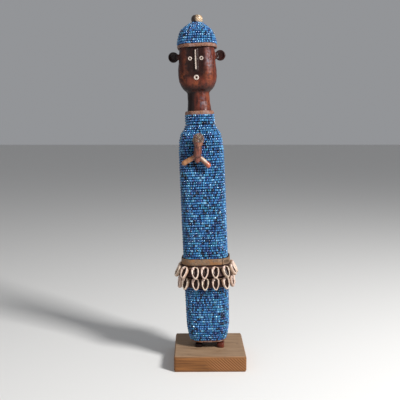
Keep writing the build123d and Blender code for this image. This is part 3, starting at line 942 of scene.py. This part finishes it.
def beadPiece(name, cloud):
    mesh = bpy.data.meshes.new(name)
    mesh.from_pydata(cloud["verts"], [], cloud["faces"])
    layer = mesh.color_attributes.new(name="beadTint", type="FLOAT_COLOR", domain="POINT")
    layer.data.foreach_set("color", cloud["tints"])
    piece = bpy.data.objects.new(name, mesh)
    bpy.context.scene.collection.objects.link(piece)
    return smooth(piece)


childSpot = {"x": -0.0030, "height": 0.2365, "out": 0.0252, "tilt": 5.5, "pegRoom": 0.0030}


def atPeg(spot):
    away = math.hypot(spot.x - childSpot["x"], spot.z - childSpot["height"])
    return spot.y < 0 and away < childSpot["pegRoom"]


def makeBeads():
    dice = random.Random(beads["seed"])
    sections = [
        ("hipBeads", "hip_beads", body["rows"], body["hemTop"], body["coveredLow"]),
        ("torsoBeadsLower", "torso_beads", body["rows"], body["coveredHigh"], body["torsoSplit"]),
        ("torsoBeadsUpper", "torso_beads", body["rows"], body["torsoSplit"], body["shoulder"]),
        ("neckBeads", "neck_beads", body["rows"], body["shoulder"], body["collarLow"]),
        ("capBeads", "cap_beads", cap["rows"], cap["bandHigh"], cap["beadsHigh"]),
    ]
    # one run of rows for the whole body, shared out between its strings
    bodyStrung = beadRows(body["rows"], body["hemTop"], body["collarLow"], beads["rowStep"])
    capStrung = beadRows(cap["rows"], cap["bandHigh"], cap["beadsHigh"], beads["rowStep"])
    for name, node, rows, low, high in sections:
        strung = capStrung if name == "capBeads" else bodyStrung
        piece = stringBeads(name, rows, [row for row in strung if low <= row[0] < high], dice, atPeg)
        finishPiece(piece, blueGlass, "blue_beads", "root", node)
        print(name, len(piece.data.polygons), "faces")


makeBeads()


# cloth and leather that go round the doll

bands = {
    "bodyLining": dict(low=body["hemTop"], high=body["collarLow"], out=-0.0026, thick=0.00068,
                       across=72, levels=70),
    "capLining": dict(low=cap["rows"][0][0], high=cap["rows"][-1][0], out=-0.0026, thick=0.00066,
                      across=72, levels=24),
    "hemBand": dict(low=0.0080, high=0.0098, out=-0.0009, thick=0.0024, across=150, levels=5,
                    bulge=0.0004, wave=0.0003, waveSize=0.005, edge=0.0004),
    "collarBand": dict(low=0.2834, high=body["collarHigh"], out=-0.0013, thick=0.0026, across=130, levels=9,
                       bulge=0.0006, wave=0.00045, waveSize=0.005, edge=0.0006),
    "capBand": dict(low=cap["bandLow"], high=cap["bandHigh"], out=-0.0011, thick=0.0022, across=160, levels=9,
                    bulge=0.0007, wave=0.0003, waveSize=0.006, edge=0.0004),
    "beltBand": dict(low=0.1053, high=0.1125, out=0.0021, thick=0.00105, across=170, levels=11,
                     bulge=0.0001, wave=0.0002, waveSize=0.009, edge=0.0003),
    "beltLap": dict(low=0.1054, high=0.1124, out=0.0032, thick=0.00105, across=24, levels=11,
                    wave=0.00015, waveSize=0.009, edge=0.0002),
    "underSkirt": dict(low=0.0770, high=0.1120, out=0.00105, thick=0.00095, across=150, levels=26,
                       wave=0.00012, waveSize=0.012, edge=0.0009),
    "tier": dict(low=0.09265, high=0.1016, out=0.0, thick=0.0010, across=150, levels=9,
                 wave=0.00012, waveSize=0.012, edge=0.0005),
}
lap = {"travel": 0.0280, "wide": 0.0120}  # where the belt's end overlaps, from the front centre
tierFlare = {"low": 0.0060, "high": 0.00105}


def tierRows():
    # the flared flap of the skirt under the upper row of shells
    waist = rowAt(body["rows"], body["waist"])
    flares = ((bands["tier"][edge], tierFlare[edge]) for edge in ("low", "high"))
    return [(height, *(side + flare for side in waist[1:4]), waist[4]) for height, flare in flares]


def makeBands():
    length = lengthAround(rowAt(body["rows"], body["waist"]), bands["beltLap"]["out"])
    bands["beltLap"]["start"] = (lap["travel"] - lap["wide"] / 2) / length
    bands["beltLap"]["end"] = (lap["travel"] + lap["wide"] / 2) / length
    jobs = [
        ("bodyLining", body["rows"], indigoCloth, "lining_cloth", "body_lining"),
        ("capLining", cap["rows"], indigoCloth, "lining_cloth", "cap_lining"),
        ("hemBand", body["rows"], bandLeather, "band_leather", "hem_band"),
        ("collarBand", body["rows"], bandLeather, "band_leather", "collar_band"),
        ("capBand", cap["rows"], bandLeather, "band_leather", "cap_band"),
        ("underSkirt", body["rows"], skirtLeather, "skirt_leather", "under_skirt"),
        ("beltBand", body["rows"], beltLeather, "belt_leather", "belt_band"),
    ]
    for name, rows, material, slotName, node in jobs:
        piece = wrapStrip(name, rows, bands[name])
        if name == "beltBand":
            joined(piece, wrapStrip("beltLap", rows, bands["beltLap"]))
        if name == "underSkirt":
            joined(piece, wrapStrip("tier", tierRows(), bands["tier"]))
        finishPiece(leaned(piece), material, slotName, "root", node)


makeBands()
print("linings, bands, belt and skirt made")


# bead on top of the cap

topBead = {"x": 0.0007, "height": 0.3959, "radius": 0.0068, "tall": 0.0044, "hole": 0.0009}


def makeTopBead():
    deselectAll()
    thick = (topBead["radius"] - topBead["hole"]) / 2
    bpy.ops.mesh.primitive_torus_add(
        major_segments=48,
        minor_segments=24,
        major_radius=topBead["hole"] + thick,
        minor_radius=thick,
        location=(topBead["x"], 0, topBead["height"]),
    )
    piece = added("capTopBead")
    piece.scale = (1, 1, topBead["tall"] / thick)
    settle(piece)
    roughened(piece, 0.006, 0.0005)
    smooth(piece)
    return finishPiece(leaned(piece), hornBead, "top_bead_horn", "root", "cap_top_bead")


makeTopBead()
print("top bead made")


# child on the chest

child = {
    "headRadius": 0.0057, "headUp": 0.0148, "headOut": 0.0034, "armRadius": 0.0031,
    "leftArm": (-0.0153, -0.0097), "rightArm": (0.0131, -0.0106), "bodyRadius": 0.0035, "bodyDrop": -0.0056,
    "trunk": 0.0047, "trunkLow": 0.0015, "trunkHigh": 0.0082, "trunkOut": 0.0020,
    "armRoot": 0.0026, "chest": 0.0033,
    "capWide": 0.0068, "capTall": 0.0071, "capUp": 0.0189, "capLow": 0.0152, "capSkin": 0.0007,
    "capBead": 0.46, "capRows": 15, "capPitch": 0.00135, "seed": 7,
    "capTints": [
        (0.30, 0.17, 0.12), (0.18, 0.10, 0.075), (0.42, 0.28, 0.22), (0.10, 0.055, 0.045), (0.20, 0.16, 0.15),
    ],
}
childPlace = Matrix.Translation((childSpot["x"], -childSpot["out"], childSpot["height"]))
childPlace = childPlace @ Matrix.Rotation(math.radians(childSpot["tilt"]), 4, "Y")


def makeLimb(name, start, end, startRadius, endRadius):
    # a cone between two balls
    deselectAll()
    start = Vector(start)
    end = Vector(end)
    bpy.ops.mesh.primitive_cone_add(
        vertices=24,
        radius1=startRadius,
        radius2=endRadius,
        depth=(end - start).length,
        location=(start + end) / 2,
        rotation=(end - start).to_track_quat("Z", "Y").to_euler(),
    )
    limb = settle(added(name))
    for spot, radius in ((start, startRadius), (end, endRadius)):
        deselectAll()
        bpy.ops.mesh.primitive_uv_sphere_add(segments=24, ring_count=14, radius=radius, location=spot)
        joined(limb, settle(added("ball")))
    return limb


def childTone(spot):
    right = ramp01(spot.x, 0.0025, 0.006) * ramp01(-spot.z, 0.0005, 0.003)
    tip = ramp01(spot.x, 0.0098, 0.0135)
    cream = right * ramp01(spot.z + 0.8 * spot.x, -0.0015, 0.0025) * (1 - tip)
    cheek = 0.6 * near(spot.x, 0.003, 0.002) * near(spot.z, 0.0125, 0.003) * ramp01(-spot.y, 0.003, 0.006)
    tan = 0.85 * ramp01(-spot.x, 0.003, 0.008) * (spot.z < 0.003) + 0.3 * right + cheek
    return min(1.0, tan), cream * 0.85, tip * 0.9


def makeChild():
    arms = [
        makeLimb("arm", (end[0] * 0.08, 0, -0.0004), (end[0], 0, end[1]), child["armRoot"], child["armRadius"])
        for end in (child["leftArm"], child["rightArm"])
    ]
    chest = makeLimb("chest", (0, 0, 0.0005), (0, 0, child["bodyDrop"]), child["chest"], child["bodyRadius"])
    ends = [(0, -child["trunkOut"], height) for height in (child["trunkLow"], child["trunkHigh"])]
    trunk = makeLimb("trunk", *ends, child["trunk"], child["trunk"])
    face = makeBall("face", (0, -child["headOut"], child["headUp"]), (child["headRadius"],) * 3)
    nose = makeBall("nose", (0, -child["headOut"] - 0.0053, child["headUp"] - 0.0012), (0.0007, 0.0008, 0.0016))
    chin = makeBall("chin", (0, -child["headOut"] - 0.0038, child["headUp"] - 0.0038), (0.0021, 0.0014, 0.0012))
    brow = makeBall("brow", (0, -child["headOut"] - 0.0040, child["headUp"] + 0.0020), (0.0032, 0.0013, 0.0008))
    piece = joined(face, *arms, chest, trunk, nose, chin, brow)
    piece.name = "childFigure"
    fused(piece, 0.00034, 3)
    roughened(piece, 0.0030, 0.00035)
    paint(piece, "childTone", childTone)
    smooth(piece)
    finishPiece(leaned(piece, childPlace), childWood, "child_wood", "root", "child_figure")


def makeChildCap():
    low = child["capLow"]
    coreWide = child["capWide"] - child["capSkin"]
    size = (coreWide, coreWide, child["capTall"] - child["capSkin"])
    core = makeBall("childCap", (0, -child["headOut"], child["capUp"]), size)
    editingAll(core)
    bpy.ops.mesh.bisect(plane_co=(0, 0, low), plane_no=(0, 0, 1), clear_inner=True, use_fill=True)
    doneEditing()
    paint(core, "beadTint", lambda spot: (0.14, 0.09, 0.07))
    leaned(core, childPlace)
    dice = random.Random(child["seed"])
    cloud = {"verts": [], "faces": [], "tints": []}
    tall = child["capTall"] - 0.0006
    wide = child["capWide"] - 0.0006
    for number in range(child["capRows"]):
        angle = math.radians(-36 + 122 * number / (child["capRows"] - 1))
        radius = wide * math.cos(angle)
        height = child["capUp"] + tall * math.sin(angle)
        if height < low + 0.0004:
            continue
        count = max(3, round(2 * math.pi * radius / child["capPitch"]))
        for step in range(count):
            turn = 2 * math.pi * (step + dice.uniform(-0.15, 0.15) + 0.5 * (number % 2)) / count
            spot = Vector((radius * math.sin(turn), -child["headOut"] - radius * math.cos(turn), height))
            size = child["capBead"] * dice.uniform(0.85, 1.05)
            place = Matrix.Translation(spot) @ Matrix.Rotation(turn + dice.uniform(-0.3, 0.3), 4, "Z")
            place = place @ Matrix.Rotation(dice.uniform(0, 3.1), 4, "X")
            place = place @ Matrix.Diagonal((size, size, size, 1))
            tint = [channel * dice.uniform(0.65, 1.15) for channel in dice.choice(child["capTints"])]
            addBead(cloud, figurePlace @ childPlace @ place, tint)
    joined(core, beadPiece("capBeading", cloud))
    smooth(core)
    finishPiece(core, childGlass, "child_beads", "root", "child_cap")


makeChild()
makeChildCap()
print("child made")


# cowries: one shell modelled, hung 32 times

cowrie = {
    "radius": 0.0049, "above": 0.0018, "tip": 0.0139, "flat": 0.0024, "wall": 0.0011,
    "slitX": 0.0004, "slitHeight": -0.0056, "slit": (0.0010, 0.0040, 0.0098),
    "teeth": 8, "toothSize": (0.00062, 0.00032, 0.00032), "toothOut": 0.00075, "toothDeep": 0.00012,
    "toothFirst": -0.0016, "toothStep": 0.00112,
    "upperSpread": 28.0, "lowerSpread": 10.0, "roll": 4.0, "rows": 16, "voxel": 0.00038, "seed": 23,
}


def makeTooth(spot):
    deselectAll()
    bpy.ops.mesh.primitive_uv_sphere_add(
        segments=8, ring_count=6, radius=1, location=spot, scale=cowrie["toothSize"]
    )
    return settle(added("tooth"))


def makeOneCowrie():
    middle = cowrie["above"] - cowrie["radius"]
    piece = makeBall("oneCowrie", (0, 0, middle), (cowrie["radius"],) * 3)
    stretch = (middle + cowrie["tip"]) / cowrie["radius"]
    for vert in piece.data.vertices:
        if vert.co.z < middle:
            vert.co.x *= 1 - 0.10 * ramp01(middle - vert.co.z, 0.0, cowrie["radius"])
            vert.co.z = middle + (vert.co.z - middle) * stretch
    editingAll(piece)
    bpy.ops.mesh.bisect(plane_co=(0, cowrie["flat"], 0), plane_no=(0, 1, 0), clear_outer=True, use_fill=True)
    bpy.ops.mesh.select_all(action="SELECT")
    bpy.ops.mesh.bisect(plane_co=(0, -cowrie["flat"], 0), plane_no=(0, -1, 0), clear_outer=True, use_fill=False)
    bpy.ops.mesh.select_all(action="SELECT")
    bpy.ops.mesh.normals_make_consistent(inside=False)
    doneEditing()
    modified(piece, "SOLIDIFY", thickness=cowrie["wall"], offset=-1)
    # the curled spire at the wide end, and the thick lips down both sides
    spire = makeBall("spire", (-0.0024, -0.0012, -0.0009), (0.0019, 0.0016, 0.0019))
    curl = makeBall("curl", (-0.0032, -0.0011, -0.0042), (0.0010, 0.0012, 0.0034))
    lip = makeBall("lip", (0.0036, -0.0011, -0.0036), (0.0009, 0.0012, 0.0040))
    column = makeBall("column", (-0.0012, 0.0008, -0.0054), (0.0008, 0.0010, 0.0040))
    joined(piece, spire, curl, lip, column)
    fused(piece, cowrie["voxel"], 2)
    cutAway(piece, makeBox("slit", (cowrie["slitX"], cowrie["flat"], cowrie["slitHeight"]), cowrie["slit"]))
    # the mouth of the shell is open at its wide end
    cutAway(piece, makeBall("notch", (0.0010, -cowrie["flat"], cowrie["above"]), (0.0018, 0.0019, 0.0024)))
    # teeth along both sides of the slit
    for side in (-1, 1):
        x = cowrie["slitX"] + side * cowrie["toothOut"]
        for number in range(cowrie["teeth"]):
            height = cowrie["toothFirst"] - number * cowrie["toothStep"]
            joined(piece, makeTooth((x, cowrie["flat"] - cowrie["toothDeep"], height)))
    paint(piece, "shellTone", shellTone)
    smooth(piece, 65)
    return piece


def shellTone(spot):
    rim = ramp01(-spot.y, 0.0006, 0.0019)
    across = (spot.x - 0.0003) / 0.0041
    along = (spot.z + 0.0056) / 0.0074
    inside = ramp01(1.0 - math.hypot(across, along), -0.05, 0.30)
    # painted shade darkens the hollow inside the shell
    deep = inside * ramp01(spot.y, -0.0015, 0.0002)
    bulb = near(spot.x, -0.0026, 0.0026) * near(spot.z, -0.0006, 0.0026)
    return rim, min(1.0, deep * 1.15), bulb * 0.9


def hangCowries(master):
    dice = random.Random(cowrie["seed"])
    for row, spread in (("upper", cowrie["upperSpread"]), ("lower", cowrie["lowerSpread"])):
        pinHeight = ((upperPin if row == "upper" else lowerPin) - figurePlace.translation).dot(figureZ)
        for number in range(cowrie["rows"]):
            label = f"{number + 1:02d}"
            node = f"{row}_cowrie_{label}"
            joint = joints[f"{row}_swing_{label}"]
            along = -Vector(joint["axis"]).normalized()
            inward = figureZ.cross(along)
            roll = cowrie["roll"] * math.sin(2.3 * number + pinHeight * 1000)
            place = Matrix.Translation(joint["pos_m"]) @ Matrix((along, inward, figureZ)).transposed().to_4x4()
            place = place @ Matrix.Rotation(math.radians(-spread), 4, "X")
            place = place @ Matrix.Rotation(math.radians(roll), 4, "Y")
            place = place @ Matrix.Diagonal((dice.uniform(0.93, 1.0), 1, dice.uniform(0.94, 1.0), 1))
            piece = master.copy()
            piece.data = master.data.copy()
            piece.name = f"{row}Cowrie{label}"
            piece.data.name = piece.name
            bpy.context.scene.collection.objects.link(piece)
            piece.data.transform(place)
            hue = dice.uniform(0.0, 0.75)
            fade = dice.uniform(0.82, 1.0)
            for value in piece.data.color_attributes["shellTone"].data:
                red, green, blue, one = value.color
                value.color = (red * fade, green, max(hue, blue), one)
            finishPiece(piece, cowrieShell, "cowrie_shell", node, node)


oneCowrie = makeOneCowrie()
print("one cowrie:", len(oneCowrie.data.polygons), "faces")
hangCowries(oneCowrie)
bpy.data.objects.remove(oneCowrie)
print("cowries hung")


# CAD pieces that keep their own shape get their materials

keptNodes = {
    "stand_screws": screwSteel,
    "child_peg": childWood,
    "belt_stitches": waxedThread,
    "top_bead_thread": waxedThread,
    "upper_shell_cord": waxedThread,
    "lower_shell_cord": waxedThread,
}
for nodeName, material in keptNodes.items():
    node = frame["nodes"][nodeName]
    if not node.material_slots:
        node.data.materials.append(material)
    for holder in node.material_slots:
        holder.material = material
print("CAD pieces dressed")


# floor, lights and camera

studio = {
    "floor": (0.74, 0.73, 0.71),
    "floorSize": 30.0,
    "sky": (0.86, 0.88, 0.92),
    "skyStrength": 0.34,
    "keyPlace": (0.95, -0.80, 1.05),
    "keySize": 0.30,
    "keyWatts": 34.0,
    "fillPlace": (-0.9, -1.1, 0.7),
    "fillSize": 1.2,
    "fillWatts": 2.5,
    "aimHeight": 0.22,
    "cameraPlace": (-0.0194, -0.7330, 0.2806),
    "cameraPitch": 6.24,
    "cameraTurn": -0.6,
    "lens": 54.5,
}


def makeFloor():
    deselectAll()
    bpy.ops.mesh.primitive_plane_add(size=studio["floorSize"], location=(0, 0, 0))
    floor = added("studioFloor")
    floor.data.materials.append(startMaterial("paleFloor", studio["floor"], 0.8, {"Specular IOR Level": 0.2}))


def makeLight(name, place, size, watts):
    lamp = bpy.data.lights.new(name, "AREA")
    lamp.size = size
    lamp.energy = watts
    light = bpy.data.objects.new(name, lamp)
    light.location = place
    aim = Vector((0, 0, studio["aimHeight"])) - Vector(place)
    light.rotation_euler = aim.to_track_quat("-Z", "Y").to_euler()
    bpy.context.scene.collection.objects.link(light)


def makeSky():
    world = bpy.data.worlds.new("studioSky")
    world.use_nodes = True
    glow = world.node_tree.nodes["Background"]
    glow.inputs["Color"].default_value = (*studio["sky"], 1)
    glow.inputs["Strength"].default_value = studio["skyStrength"]
    bpy.context.scene.world = world


def makeCamera():
    lens = bpy.data.cameras.new("dollCamera")
    lens.lens = studio["lens"]
    camera = bpy.data.objects.new("dollCamera", lens)
    camera.location = studio["cameraPlace"]
    camera.rotation_euler = (math.radians(90 - studio["cameraPitch"]), 0, math.radians(studio["cameraTurn"]))
    bpy.context.scene.collection.objects.link(camera)
    bpy.context.scene.camera = camera


makeFloor()
makeLight("keyLight", studio["keyPlace"], studio["keySize"], studio["keyWatts"])
makeLight("fillLight", studio["fillPlace"], studio["fillSize"], studio["fillWatts"])
makeSky()
makeCamera()
bpy.context.scene.view_settings.view_transform = "Standard"
print("studio made")
